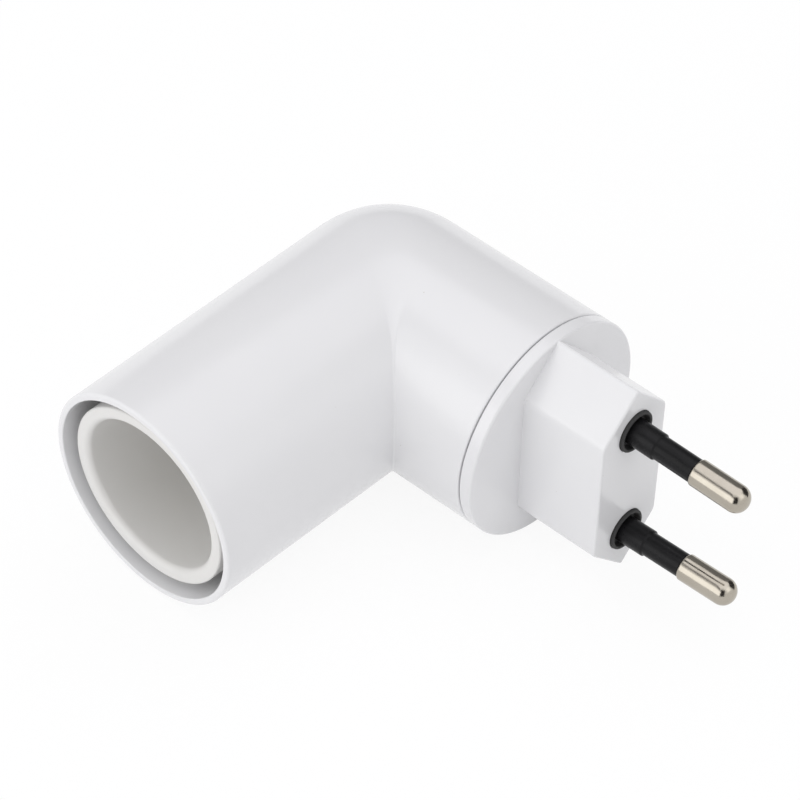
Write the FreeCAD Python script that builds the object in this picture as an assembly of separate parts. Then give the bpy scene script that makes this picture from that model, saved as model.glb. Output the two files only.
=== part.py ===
import FreeCAD
import Part
import math
import os

# Plug in lamp holder: a two-pin plug, a round elbow and a small screw socket in its barrel.
# Millimetres. The origin is the middle of the plug's front face. +X runs out along the pins,
# the barrel points along -Y, and +Z is up with the object lying on its side.

# Pins and their insulating sleeves
pin_length = 19.0
pin_radius = 2.0
pin_spacing = 19.0
pin_tip_spacing = 18.0
pin_core_radius = 1.4
pin_tip_round = 1.9
pin_edge_round = 0.3
pin_tail_length = 4.6
pin_tail_radius = 1.75
pin_tail_bore_depth = 4.0
sleeve_length = 10.5
sleeve_radius = 1.76
sleeve_root_radius = 1.98
sleeve_root_length = 4.4
sleeve_step = 0.2
sleeve_seat_depth = 4.5

# Plug cap: the six-sided boss, its round rim and the spigot inside the arm
boss_length = 13.8
boss_half_width = 6.5
boss_reach = 7.3
boss_draft = 0.1
boss_apex_round = 0.35
boss_shoulder_round = 1.6
boss_face_round = 0.3
boss_wall = 1.7
boss_face_thickness = 2.6
cap_margin = 0.05
cap_rim_width = 2.0
cap_disc_thickness = 2.6
cap_edge_round = 0.35
seam_gap = 0.22
spigot_length = 5.2
spigot_wall = 1.5
snap_bead_height = 0.25
snap_bead_width = 1.2
snap_bead_setback = 1.2

# Pin carrier, screwed to two posts behind the boss
collar_radius = 3.15
collar_height = 0.5
collar_dish_depth = 1.0
collar_lip = 0.45
collar_lip_round = 0.2
carrier_post_height = 3.6
carrier_post_radius = 2.5
carrier_post_margin = 0.52
carrier_ear_thickness = 2.0

# Elbow housing
arm_length = 28.8
barrel_length = 48.2
arm_draft = 0.15
barrel_draft = 0.4
housing_wall = 1.8
mouth_wall = 1.07
mouth_round = 0.4
seam_edge_round = 0.25
post_radius = 2.6

# Lamp socket, measured along the barrel from its mouth
tube_recess = 1.1
tube_margin = 1.63
tube_wall = 2.2
tube_bore_depth = 17.0
tube_rim_round = 0.3
tube_inner_round = 1.0
tube_throat_round = 1.2
tube_throat_chamfer = 1.4
tube_web = 2.2
tube_collar_wall = 1.3
tube_skirt_wall = 1.22
shell_radius = 6.6
shell_metal = 0.35
shell_length = 14.0
shell_flare = 0.7
shell_taper_length = 1.1
shell_neck_radius = 5.9
shell_neck_length = 1.6
shell_hole_radius = 3.5
base_spigot_height = 3.4
base_flange_thickness = 3.4
base_pocket_depth = 1.2
base_edge_round = 0.4
base_well_wall = 0.6

# Sprung centre contact
cup_radius = 2.5
cup_wall = 0.45
cup_lip_thickness = 0.6
cup_tail_radius = 0.9
cup_tail_length = 2.8
cup_recess = 0.15
cup_edge_round = 0.3
cup_collar_wall = 1.0
plunger_radius = 1.3
plunger_flange_thickness = 0.7
plunger_rise = 2.4
plunger_travel = 1.5
plunger_crown = 0.7
spring_wire_radius = 0.2
spring_turns = 5.5
spring_reserve = 3.65
spring_side_gap = 0.1

# Contact strip of the screw shell
strip_width = 1.7
strip_thickness = 0.5
strip_reach = 2.7
strip_tail_length = 3.0
rivet_radius = 0.55
rivet_head_radius = 0.95
rivet_head_height = 0.35
rivet_head_round = 0.2
rivet_inset = 0.95
strip_bend_round = 0.4
strip_gap = 0.1

# Wires and crimped ferrules
wire_radius = 1.1
conductor_radius = 0.7
ferrule_wall = 0.3
ferrule_grip = 2.4
stripped_length = 2.2
wire_rise = 7.4
wire_lead = 6.5
bend_share = 0.45

# Self-tapping screws
screw_radius = 1.1
screw_length = 7.0
screw_head_radius = 2.0
screw_head_height = 1.3
screw_slot_width = 0.6
screw_slot_depth = 0.6
screw_slot_length = 2.8
screw_point_length = 1.6
screw_point_radius = 0.3

# Clearances
snug_gap = 0.02
slide_gap = 0.08
moulded_gap = 0.3
socket_gap = 0.35
head_gap = 0.2
overrun = 1.0

# Places worked out from the sizes above: the pins set the boss, and the boss sets the round housing
boss_half_height = pin_spacing / 2 + boss_reach
seam_radius = boss_half_height + cap_margin
elbow_radius = seam_radius + arm_draft
mouth_radius = elbow_radius - barrel_draft
cap_face_x = -boss_length
seam_x = cap_face_x - cap_rim_width
arm_end_x = seam_x - seam_gap
elbow_x = seam_x - arm_length
disc_back_x = cap_face_x - cap_disc_thickness
ear_front_x = disc_back_x - carrier_post_height
ear_back_x = ear_front_x - carrier_ear_thickness
bore_radius = elbow_radius - housing_wall
mouth_bore_radius = mouth_radius - mouth_wall
spigot_radius = bore_radius - slide_gap
spigot_bore_radius = spigot_radius - spigot_wall
carrier_post_offset = spigot_bore_radius - carrier_post_margin - carrier_post_radius
tube_radius = mouth_bore_radius - tube_margin
base_spigot_radius = tube_radius - tube_skirt_wall - slide_gap
base_flange_radius = bore_radius - socket_gap
screw_offset = base_spigot_radius - base_well_wall - head_gap - screw_head_radius
spigot_end_x = seam_x - spigot_length
throat_depth = tube_recess + tube_bore_depth
shell_top = throat_depth + tube_throat_chamfer
shell_bottom = shell_top + shell_length
shell_neck_top = shell_bottom - shell_neck_length
base_face = shell_bottom - base_pocket_depth
flange_top = base_face + base_spigot_height
base_rear = flange_top + base_flange_thickness
throat_radius = shell_radius + shell_metal + shell_flare + socket_gap
cup_top = shell_bottom + cup_recess
plunger_flange_top = cup_top + cup_lip_thickness
plunger_nub_end = plunger_flange_top + 2 * plunger_flange_thickness
cup_floor = plunger_nub_end + plunger_travel + spring_reserve
cup_rear = cup_floor + cup_wall
cup_bore_radius = cup_radius - cup_wall
pocket_half_width = boss_half_width - boss_wall
pocket_half_height = boss_half_height - boss_wall * math.sqrt(2)
pin_tilt = math.degrees(math.atan((pin_spacing - pin_tip_spacing) / 2 / pin_length))
strip_rear = base_rear + strip_tail_length
strip_start = shell_hole_radius + strip_gap
strip_inner = strip_start + strip_reach - strip_thickness
strip_top = shell_bottom + snug_gap
pin_tail_start = ear_back_x - slide_gap
pin_tail_end = pin_tail_start - pin_tail_length
pin_seat_radius = sleeve_root_radius + snug_gap


def vec(x, y, z):
    return FreeCAD.Vector(x, y, z)


def profile(corners):
    """Closed outline in the XZ plane from (radius, height) corners, with an optional corner round."""
    count = len(corners)
    points = [vec(c[0], 0, c[1]) for c in corners]
    starts = []
    ends = []
    middles = []
    for i in range(count):
        before = (points[i - 1] - points[i]).normalize()
        after = (points[(i + 1) % count] - points[i]).normalize()
        size = corners[i][2] if len(corners[i]) > 2 else 0
        half = before.getAngle(after) / 2
        reach = size / math.tan(half)
        starts.append(points[i] + before * reach)
        ends.append(points[i] + after * reach)
        inward = (before + after).normalize()
        middles.append(points[i] + inward * (size / math.sin(half) - size))
    edges = []
    for i in range(count):
        if ends[i - 1].distanceToPoint(starts[i]) > 1e-6:
            edges.append(Part.makeLine(ends[i - 1], starts[i]))
        if starts[i].distanceToPoint(ends[i]) > 1e-6:
            edges.append(Part.Arc(starts[i], middles[i], ends[i]).toShape())
    return Part.Face(Part.Wire(edges))


def turned(corners):
    """Solid turned about the local Z axis."""
    return profile(corners).revolve(vec(0, 0, 0), vec(0, 0, 1), 360)


def carried(shape, place, axis, angle):
    """Moves a solid from its own frame into the part."""
    carrier = FreeCAD.Placement(place, FreeCAD.Rotation(axis, angle))
    shape.Placement = carrier.multiply(shape.Placement)
    return shape


def in_socket(shape):
    """Places a solid whose own Z is the depth from the barrel's mouth."""
    return carried(shape, vec(elbow_x, -barrel_length, 0), vec(1, 0, 0), -90)


def on_plug(shape):
    """Places a solid whose own Z runs out of the plug's face."""
    return carried(shape, vec(0, 0, 0), vec(0, 1, 0), 90)


def on_pin(shape, side):
    """Places a solid whose own Z is a pin's axis, which leans in towards the other pin."""
    return carried(shape, vec(0, 0, side * pin_spacing / 2), vec(0, 1, 0), 90 + side * pin_tilt)


def cylinder(radius, start, end):
    return Part.makeCylinder(radius, (end - start).Length, start, end - start)


def hexagon(x, half_width, half_height):
    """Six-sided outline across X with 45 degree shoulders and an apex at top and bottom."""
    shoulder = half_height - half_width
    corners = [
        vec(x, 0, half_height),
        vec(x, half_width, shoulder),
        vec(x, half_width, -shoulder),
        vec(x, 0, -half_height),
        vec(x, -half_width, -shoulder),
        vec(x, -half_width, shoulder),
    ]
    return Part.makePolygon(corners + corners[:1])


def hex_prism(x_from, x_to, half_width, half_height, growth=0.0):
    first = hexagon(x_from, half_width, half_height)
    last = hexagon(x_to, half_width + growth, half_height + growth)
    return Part.makeLoft([first, last], True, True)


def elbow(barrel_profile, arm_profile, ball_radius):
    """Two round arms that meet in a sharp inner mitre, with a ball at the outer corner."""
    ball = Part.makeSphere(ball_radius)
    # turned so that the ball's poles and seam lie away from the quarter that is kept
    ball.rotate(vec(0, 0, 0), vec(1, 0, 0), -90)
    ball.rotate(vec(0, 0, 0), vec(0, 0, 1), -45)
    low_corner = vec(-ball_radius, 0, -ball_radius)
    corner = ball.common(Part.makeBox(ball_radius, ball_radius, 2 * ball_radius, low_corner))
    corner.translate(vec(elbow_x, 0, 0))
    barrel = in_socket(turned(barrel_profile))
    arm = on_plug(turned(arm_profile))
    return barrel.fuse([arm, corner])


def socket_screw_axis(side, depth):
    return vec(elbow_x, depth - barrel_length, side * screw_offset)


def make_elbow_housing():
    outer = elbow(
        [
            (0, 0),
            (mouth_radius, 0, mouth_round),
            (elbow_radius, barrel_length),
            (0, barrel_length),
        ],
        [
            (0, elbow_x),
            (elbow_radius, elbow_x),
            (seam_radius, arm_end_x, seam_edge_round),
            (0, arm_end_x),
        ],
        elbow_radius,
    )
    inner = elbow(
        [
            (0, -mouth_round),
            (mouth_bore_radius + 2 * mouth_round, -mouth_round),
            (mouth_bore_radius, mouth_round),
            (bore_radius, barrel_length),
            (0, barrel_length),
        ],
        [
            (0, elbow_x),
            (bore_radius, elbow_x),
            (bore_radius, arm_end_x + mouth_round),
            (0, arm_end_x + mouth_round),
        ],
        bore_radius,
    )
    shell = outer.cut(inner)
    for side in (1, -1):
        foot = socket_screw_axis(side, base_rear)
        post = cylinder(post_radius, foot, foot + vec(0, barrel_length, 0)).common(outer)
        hole = cylinder(screw_radius + snug_gap, foot, foot + vec(0, screw_length, 0))
        shell = shell.fuse(post).cut(hole)
    return shell.cut(bead_ring(bore_radius, snap_bead_width + moulded_gap))


def bead_ring(radius, width):
    """Ridge about the arm's axis, for the snap bead on the spigot and the groove that holds it."""
    half = width / 2
    middle = spigot_end_x + snap_bead_setback
    ring = turned(
        [
            (radius - half, middle - half),
            (radius, middle - half),
            (radius + snap_bead_height, middle),
            (radius, middle + half),
            (radius - half, middle + half),
        ]
    )
    return on_plug(ring)


def make_boss():
    """Drafted six-sided boss with crisp edges at top and bottom and soft shoulders."""
    boss = hex_prism(0, cap_face_x - cap_edge_round, boss_half_width, boss_half_height, boss_draft)
    long_edges = [e for e in boss.Edges if e.BoundBox.XLength > boss_length / 2]
    shoulders = [e for e in long_edges if abs(e.CenterOfMass.y) > boss_half_width / 2]
    boss = boss.makeFillet(boss_shoulder_round, shoulders)
    long_edges = [e for e in boss.Edges if e.BoundBox.XLength > boss_length / 2]
    apexes = [e for e in long_edges if abs(e.CenterOfMass.y) < boss_apex_round]
    boss = boss.makeFillet(boss_apex_round, apexes)
    face_edges = [e for e in boss.Edges if e.BoundBox.XMin > -boss_face_round]
    return boss.makeFillet(boss_face_round, face_edges)


def carrier_post_point(side, x):
    return vec(x, side * carrier_post_offset, 0)


def make_plug_cap():
    body = on_plug(
        turned(
            [
                (0, cap_face_x),
                (seam_radius, cap_face_x, cap_edge_round),
                (seam_radius, seam_x, seam_edge_round),
                (spigot_radius, seam_x),
                (spigot_radius, spigot_end_x, cap_edge_round),
                (spigot_bore_radius, spigot_end_x, cap_edge_round),
                (spigot_bore_radius, disc_back_x),
                (0, disc_back_x),
            ]
        )
    )
    body = body.fuse(make_boss())
    for side in (1, -1):
        root = carrier_post_point(side, cap_face_x - cap_edge_round)
        body = body.fuse(cylinder(carrier_post_radius, root, carrier_post_point(side, ear_front_x)))
    pocket_end = disc_back_x - moulded_gap
    body = body.cut(hex_prism(-boss_face_thickness, pocket_end, pocket_half_width, pocket_half_height))
    for side in (1, -1):
        middle = vec(0, 0, side * pin_spacing / 2)
        inside = middle - vec(boss_face_thickness + overrun, 0, 0)
        body = body.cut(cylinder(collar_radius + slide_gap, middle + vec(overrun, 0, 0), inside))
        hole_start = carrier_post_point(side, ear_front_x - overrun)
        hole_end = carrier_post_point(side, ear_back_x + screw_length)
        body = body.cut(cylinder(screw_radius + snug_gap, hole_start, hole_end))
    return body.fuse(bead_ring(spigot_radius, snap_bead_width))


def make_collar(side):
    """Round boss of the pin carrier with a dished face, through the plug's face."""
    foot = -boss_face_thickness - overrun
    dish_floor = collar_height - collar_dish_depth
    collar = on_plug(
        turned(
            [
                (0, foot),
                (collar_radius, foot),
                (collar_radius, collar_height, collar_lip_round),
                (collar_radius - collar_lip, collar_height, collar_lip_round),
                (pin_seat_radius + collar_lip, dish_floor, collar_lip_round),
                (0, dish_floor),
            ]
        )
    )
    collar.translate(vec(0, 0, side * pin_spacing / 2))
    return collar


def make_pin_carrier():
    front = -boss_face_thickness - slide_gap
    ear_from = ear_front_x - slide_gap
    half_height = pocket_half_height - slide_gap * math.sqrt(2)
    body = hex_prism(front, ear_back_x, pocket_half_width - slide_gap, half_height)
    ear_width = 2 * carrier_post_offset
    ear_corner = vec(ear_back_x, -carrier_post_offset, -carrier_post_radius)
    body = body.fuse(Part.makeBox(ear_from - ear_back_x, ear_width, 2 * carrier_post_radius, ear_corner))
    for side in (1, -1):
        back = carrier_post_point(side, ear_back_x)
        body = body.fuse(cylinder(carrier_post_radius, back, carrier_post_point(side, ear_from)))
    body = body.common(cylinder(spigot_bore_radius - moulded_gap, vec(overrun, 0, 0), vec(ear_back_x, 0, 0)))
    for side in (1, -1):
        body = body.fuse(make_collar(side))
    for side in (1, -1):
        seat = Part.makeCylinder(pin_seat_radius, sleeve_seat_depth + overrun, vec(0, 0, -sleeve_seat_depth))
        shaft_start = vec(0, 0, ear_back_x - overrun)
        shaft = Part.makeCylinder(pin_core_radius + snug_gap, -shaft_start.z, shaft_start)
        body = body.cut(on_pin(seat, side)).cut(on_pin(shaft, side))
        hole_start = carrier_post_point(side, ear_back_x - overrun)
        hole_end = carrier_post_point(side, ear_front_x)
        body = body.cut(cylinder(screw_radius + slide_gap, hole_start, hole_end))
    return body


def make_pin(side):
    shape = turned(
        [
            (0, pin_length),
            (pin_radius, pin_length, pin_tip_round),
            (pin_radius, sleeve_length, pin_edge_round),
            (pin_core_radius, sleeve_length),
            (pin_core_radius, pin_tail_start),
            (pin_tail_radius, pin_tail_start),
            (pin_tail_radius, pin_tail_end, pin_edge_round),
            (conductor_radius + snug_gap, pin_tail_end),
            (conductor_radius + snug_gap, pin_tail_end + pin_tail_bore_depth),
            (0, pin_tail_end + pin_tail_bore_depth),
        ]
    )
    return on_pin(shape, side)


def make_sleeve(side):
    inner = pin_core_radius + snug_gap
    shape = turned(
        [
            (inner, sleeve_length - snug_gap),
            (sleeve_radius, sleeve_length - snug_gap, sleeve_step / 2),
            (sleeve_radius, sleeve_root_length),
            (sleeve_root_radius, sleeve_root_length - sleeve_step),
            (sleeve_root_radius, -sleeve_seat_depth),
            (inner, -sleeve_seat_depth),
        ]
    )
    return on_pin(shape, side)


def make_screw():
    """Pan head screw along local Z, with the seat of its head at zero and its point below."""
    tip = snug_gap - screw_length
    body = turned(
        [
            (0, screw_head_height),
            (screw_head_radius, screw_head_height, screw_head_height * 0.7),
            (screw_head_radius, 0),
            (screw_radius, 0),
            (screw_radius, tip + screw_point_length),
            (screw_point_radius, tip),
            (0, tip),
        ]
    )
    for turn in (0, 90):
        slot_floor = screw_head_height - screw_slot_depth
        slot_corner = vec(-screw_slot_length / 2, -screw_slot_width / 2, slot_floor)
        slot = Part.makeBox(screw_slot_length, screw_slot_width, screw_slot_depth + overrun, slot_corner)
        slot.rotate(vec(0, 0, 0), vec(0, 0, 1), turn)
        body = body.cut(slot)
    return body


def make_carrier_screw(side):
    return carried(make_screw(), vec(ear_back_x, side * carrier_post_offset, 0), vec(0, 1, 0), -90)


def make_base_screw(side):
    return carried(make_screw(), socket_screw_axis(side, flange_top), vec(1, 0, 0), 90)


def make_holder_tube():
    inner = tube_radius - tube_wall
    skirt = base_spigot_radius + slide_gap
    return in_socket(
        turned(
            [
                (inner, tube_recess, tube_inner_round),
                (tube_radius, tube_recess, tube_rim_round),
                (tube_radius, flange_top - slide_gap),
                (skirt, flange_top - slide_gap),
                (skirt, throat_depth + tube_web),
                (throat_radius + tube_collar_wall, throat_depth + tube_web),
                (throat_radius + tube_collar_wall, base_face - slide_gap),
                (throat_radius, base_face - slide_gap),
                (throat_radius, shell_top),
                (throat_radius + tube_throat_chamfer, throat_depth),
                (inner, throat_depth, tube_throat_round),
            ]
        )
    )


def make_socket_base():
    pocket_radius = shell_neck_radius + shell_metal + snug_gap
    body = turned(
        [
            (0, shell_bottom),
            (pocket_radius, shell_bottom),
            (pocket_radius, base_face),
            (base_spigot_radius, base_face, base_edge_round),
            (base_spigot_radius, flange_top),
            (base_flange_radius, flange_top),
            (base_flange_radius, base_rear, base_edge_round),
            (0, base_rear),
        ]
    )
    front = vec(0, 0, shell_bottom - overrun)
    through = base_rear - shell_bottom + 2 * overrun
    body = body.cut(Part.makeCylinder(cup_radius + snug_gap, through, front))
    body = body.fuse(make_cup_collar())
    for side in (1, -1):
        hole_start = vec(0, side * screw_offset, base_face - overrun)
        hole_length = base_rear - base_face + 2 * overrun
        body = body.cut(Part.makeCylinder(screw_radius + slide_gap, hole_length, hole_start))
        well_depth = base_spigot_height + overrun
        body = body.cut(Part.makeCylinder(screw_head_radius + head_gap, well_depth, hole_start))
    slot_width = strip_width + 2 * slide_gap
    slot_corner = vec(strip_inner - slide_gap, -slot_width / 2, shell_bottom - overrun)
    slot = Part.makeBox(strip_thickness + 2 * slide_gap, slot_width, through, slot_corner)
    foot_corner = vec(strip_start - slide_gap, -slot_width / 2, shell_bottom)
    foot_depth = strip_thickness + rivet_head_height + snug_gap
    foot_room = Part.makeBox(strip_reach + 2 * slide_gap, slot_width, foot_depth, foot_corner)
    rivet_depth = strip_thickness + 2 * rivet_head_height
    rivet_room = Part.makeCylinder(rivet_head_radius + slide_gap, rivet_depth, rivet_point(shell_bottom))
    return in_socket(body.cut(slot).cut(foot_room).cut(rivet_room))


def make_cup_collar():
    """Collar behind the socket base that holds the contact cup."""
    inner = cup_radius + snug_gap
    outer = inner + cup_collar_wall
    foot = base_rear - overrun
    return turned([(inner, foot), (outer, foot), (outer, cup_floor), (inner, cup_floor)])


def rivet_point(depth):
    return vec(strip_start + rivet_inset, 0, depth)


def make_screw_shell():
    outer = shell_radius + shell_metal
    neck_outer = shell_neck_radius + shell_metal
    shape = turned(
        [
            (shell_radius + shell_flare, shell_top - shell_flare),
            (outer + shell_flare, shell_top - shell_flare + 0.2),
            (outer, shell_top + shell_flare),
            (outer, shell_neck_top - shell_taper_length),
            (neck_outer, shell_neck_top),
            (neck_outer, shell_bottom, shell_metal),
            (shell_hole_radius, shell_bottom),
            (shell_hole_radius, shell_bottom - shell_metal),
            (shell_neck_radius, shell_bottom - shell_metal),
            (shell_neck_radius, shell_neck_top),
            (shell_radius, shell_neck_top - shell_taper_length),
            (shell_radius, shell_top + shell_flare),
        ]
    )
    hole_start = rivet_point(shell_bottom - shell_metal - overrun)
    hole = Part.makeCylinder(rivet_radius + snug_gap, shell_metal + 2 * overrun, hole_start)
    return in_socket(shape.cut(hole))


def make_shell_strip():
    """Strip with a foot under the shell and a leg through the base, bent from one piece of sheet."""
    outline = profile(
        [
            (strip_start, strip_top),
            (strip_inner + strip_thickness, strip_top, strip_bend_round),
            (strip_inner + strip_thickness, strip_rear),
            (strip_inner, strip_rear),
            (strip_inner, strip_top + strip_thickness),
            (strip_start, strip_top + strip_thickness),
        ]
    )
    outline.translate(vec(0, -strip_width / 2, 0))
    strip = outline.extrude(vec(0, strip_width, 0))
    hole_start = rivet_point(strip_top - overrun)
    hole = Part.makeCylinder(rivet_radius + snug_gap, strip_thickness + 2 * overrun, hole_start)
    return in_socket(strip.cut(hole))


def make_shell_rivet():
    top = shell_bottom - shell_metal - snug_gap
    under = strip_top + strip_thickness
    shape = turned(
        [
            (0, top - rivet_head_height),
            (rivet_head_radius, top - rivet_head_height, rivet_head_round),
            (rivet_head_radius, top),
            (rivet_radius, top),
            (rivet_radius, under),
            (rivet_head_radius, under),
            (rivet_head_radius, under + rivet_head_height, rivet_head_round),
            (0, under + rivet_head_height),
        ]
    )
    shape.translate(rivet_point(0))
    return in_socket(shape)


def make_contact_cup():
    shape = turned(
        [
            (plunger_radius + slide_gap, cup_top),
            (cup_radius, cup_top, cup_edge_round),
            (cup_radius, cup_rear, cup_edge_round),
            (cup_tail_radius, cup_rear),
            (cup_tail_radius, cup_rear + cup_tail_length),
            (0, cup_rear + cup_tail_length),
            (0, cup_floor),
            (cup_bore_radius, cup_floor),
            (cup_bore_radius, plunger_flange_top),
            (plunger_radius + slide_gap, plunger_flange_top),
        ]
    )
    return in_socket(shape)


def make_contact_plunger():
    flange = cup_bore_radius - slide_gap
    nub = plunger_radius - 2 * spring_wire_radius
    top = cup_top - plunger_rise
    under = plunger_flange_top + plunger_flange_thickness
    shape = turned(
        [
            (0, top),
            (plunger_radius, top, plunger_crown),
            (plunger_radius, plunger_flange_top + snug_gap),
            (flange, plunger_flange_top + snug_gap),
            (flange, under),
            (nub, under),
            (nub, plunger_nub_end, snug_gap),
            (0, plunger_nub_end),
        ]
    )
    return in_socket(shape)


def make_contact_spring():
    coil_radius = cup_bore_radius - spring_side_gap - spring_wire_radius
    start = plunger_flange_top + plunger_flange_thickness + spring_wire_radius + snug_gap
    end = cup_floor - spring_wire_radius - snug_gap
    helix = Part.makeHelix((end - start) / spring_turns, end - start, coil_radius)
    ring = Part.Circle(vec(coil_radius, 0, 0), vec(0, 1, 0), spring_wire_radius).toShape()
    coil = Part.Wire(helix.Edges).makePipeShell([Part.Wire([ring])], True, True)
    coil.translate(vec(0, 0, start))
    return in_socket(coil)


def bent_wire(points, radius):
    """Round wire along straight runs, with a tangent arc at each inner point."""
    pieces = []
    start = points[0]
    for i in range(1, len(points) - 1):
        back = points[i - 1] - points[i]
        ahead = points[i + 1] - points[i]
        half = back.getAngle(ahead) / 2
        cut = bend_share * min(back.Length, ahead.Length)
        size = cut * math.tan(half)
        back.normalize()
        ahead.normalize()
        entry = points[i] + back * cut
        leave = points[i] + ahead * cut
        pieces.append(cylinder(radius, start, entry))
        middle = points[i] + (back + ahead).normalize() * (size / math.sin(half))
        ring = Part.Wire([Part.Circle(entry, back, radius).toShape()])
        axis = (entry - middle).cross(leave - middle)
        turn = math.degrees((entry - middle).getAngle(leave - middle))
        pieces.append(Part.Face(ring).revolve(middle, axis, turn))
        start = leave
    pieces.append(cylinder(radius, start, points[-1]))
    return pieces[0].fuse(pieces[1:])


def pin_tail_point(side, depth):
    """Point on a pin's axis, a depth behind the open end of its tail."""
    return on_pin(Part.Vertex(0, 0, pin_tail_end - depth), side).Point


def contact_point(off_axis, depth):
    """Point behind the socket base, off the barrel's axis along X, at a depth from the mouth."""
    return vec(elbow_x + off_axis, depth - barrel_length, 0)


def wire_start_depth(tail_end):
    return tail_end + slide_gap + stripped_length


def make_wire(off_axis, tail_end, side):
    depth = wire_start_depth(tail_end)
    start = contact_point(off_axis, depth)
    lift = start + vec(0, wire_rise, 0)
    end = pin_tail_point(side, slide_gap)
    lead = pin_tail_point(side, wire_lead)
    wire = bent_wire([start, lift, lead, end], wire_radius)
    tip_from = contact_point(off_axis, depth - stripped_length)
    tip_to = pin_tail_point(side, slide_gap - stripped_length)
    first_tip = cylinder(conductor_radius, tip_from, start)
    last_tip = cylinder(conductor_radius, end, tip_to)
    return wire.fuse([first_tip, last_tip])


def make_ferrule(off_axis, tail_end):
    inner = cup_tail_radius + snug_gap
    end = wire_start_depth(tail_end) - slide_gap
    start = tail_end - ferrule_grip
    shape = turned(
        [
            (inner, start),
            (inner + ferrule_wall, start),
            (inner + ferrule_wall, end),
            (inner, end),
        ]
    )
    shape.translate(vec(off_axis, 0, 0))
    return in_socket(shape)


def save(name, shape):
    solid = shape.Solids[0] if len(shape.Solids) == 1 else shape
    if not solid.isValid() or len(shape.Solids) != 1:
        print("check", name, "valid", solid.isValid(), "solids", len(shape.Solids))
    solid.exportStep("parts/" + name + ".step")


os.makedirs("parts", exist_ok=True)
strip_middle = strip_inner + strip_thickness / 2
save("elbow_housing", make_elbow_housing())
save("plug_cap", make_plug_cap())
save("pin_carrier", make_pin_carrier())
for label, side in (("upper", 1), ("lower", -1)):
    save(label + "_pin", make_pin(side))
    save(label + "_pin_sleeve", make_sleeve(side))
    save(label + "_base_screw", make_base_screw(side))
for label, side in (("left", -1), ("right", 1)):
    save(label + "_carrier_screw", make_carrier_screw(side))
save("holder_tube", make_holder_tube())
save("socket_base", make_socket_base())
save("screw_shell", make_screw_shell())
save("shell_strip", make_shell_strip())
save("shell_rivet", make_shell_rivet())
save("contact_cup", make_contact_cup())
save("contact_plunger", make_contact_plunger())
save("contact_spring", make_contact_spring())
save("live_wire", make_wire(0, cup_rear + cup_tail_length, 1))
save("neutral_wire", make_wire(strip_middle, strip_rear, -1))
save("live_ferrule", make_ferrule(0, cup_rear + cup_tail_length))
save("neutral_ferrule", make_ferrule(strip_middle, strip_rear))
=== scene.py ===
import bmesh
import bpy
import numpy as np
from mathutils import Matrix, Vector


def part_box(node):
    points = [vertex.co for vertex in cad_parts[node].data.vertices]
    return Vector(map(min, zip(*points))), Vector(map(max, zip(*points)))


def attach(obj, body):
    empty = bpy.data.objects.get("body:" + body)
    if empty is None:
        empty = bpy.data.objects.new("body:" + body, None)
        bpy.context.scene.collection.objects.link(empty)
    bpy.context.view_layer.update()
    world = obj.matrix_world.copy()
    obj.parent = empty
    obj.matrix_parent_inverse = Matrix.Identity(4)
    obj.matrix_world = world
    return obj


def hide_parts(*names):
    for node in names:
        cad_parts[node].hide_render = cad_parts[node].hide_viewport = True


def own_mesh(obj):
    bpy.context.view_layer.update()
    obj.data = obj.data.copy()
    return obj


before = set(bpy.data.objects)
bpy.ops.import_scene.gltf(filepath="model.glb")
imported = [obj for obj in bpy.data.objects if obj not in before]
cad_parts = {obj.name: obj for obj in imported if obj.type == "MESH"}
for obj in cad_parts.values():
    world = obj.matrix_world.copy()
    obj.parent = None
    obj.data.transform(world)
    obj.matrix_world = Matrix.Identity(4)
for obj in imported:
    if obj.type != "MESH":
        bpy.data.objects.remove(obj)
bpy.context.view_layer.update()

# A white plug in lamp holder: two sleeved pins, a six-sided plug boss, a mitred elbow and a lamp tube.
# Shapes are worked out in millimetres in the part's frame and go into the meshes in metres.
mm = 0.001
fullTurn = 2 * np.pi

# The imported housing's lowest and highest corner give the bend its place and size.
housingLow, housingHigh = (np.array(corner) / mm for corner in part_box("elbow_housing"))
elbowRadius = housingHigh[2]
elbowX = housingLow[0] + elbowRadius  # the barrel's axis
barrelLength = -housingLow[1]
armReach = housingHigh[0] - elbowX  # from the barrel's axis to the seam


# Places a surface of radius r and height h, at angle a, about the axis of the barrel, the plug or a pin.
# Barrel: x = elbowX + r cos a, y = h - barrelLength, z = r sin a, so h is the depth from the mouth.
def onBarrel(r, h, a):
    return np.stack(np.broadcast_arrays(elbowX + r * np.cos(a), h - barrelLength, r * np.sin(a)), -1)


# Plug: x = h, y = r cos a, z = r sin a.
def onPlug(r, h, a):
    return np.stack(np.broadcast_arrays(h + 0 * a, r * np.cos(a), r * np.sin(a)), -1)


pinShape = {
    "spacing": 19.0,  # between the pins where they leave the face
    "tipSpacing": 18.0,
    "length": 19.0,
    "radius": 2.0,
    "coreRadius": 1.4,
    "tipRound": 1.9,
    "edgeRound": 0.3,
    "tailRadius": 1.75,
    "tailStart": -22.08,
    "tailEnd": -26.68,
    "tailBore": 0.72,
    "tailBoreDepth": 4.0,
    "metalStart": 10.5,
    "columns": 96,
    "roundSteps": 14,
}
pinLean = np.arctan((pinShape["spacing"] - pinShape["tipSpacing"]) / 2 / pinShape["length"])


# Pin: the plug's formula, turned by the pin's lean about y and set at half the spacing above or below.
def onPin(side):
    lean = Matrix.Rotation(side * pinLean, 3, "Y")
    root = np.array((0, 0, side * pinShape["spacing"] / 2))
    return lambda r, h, a: onPlug(r, h, a) @ np.array(lean).T + root


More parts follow.
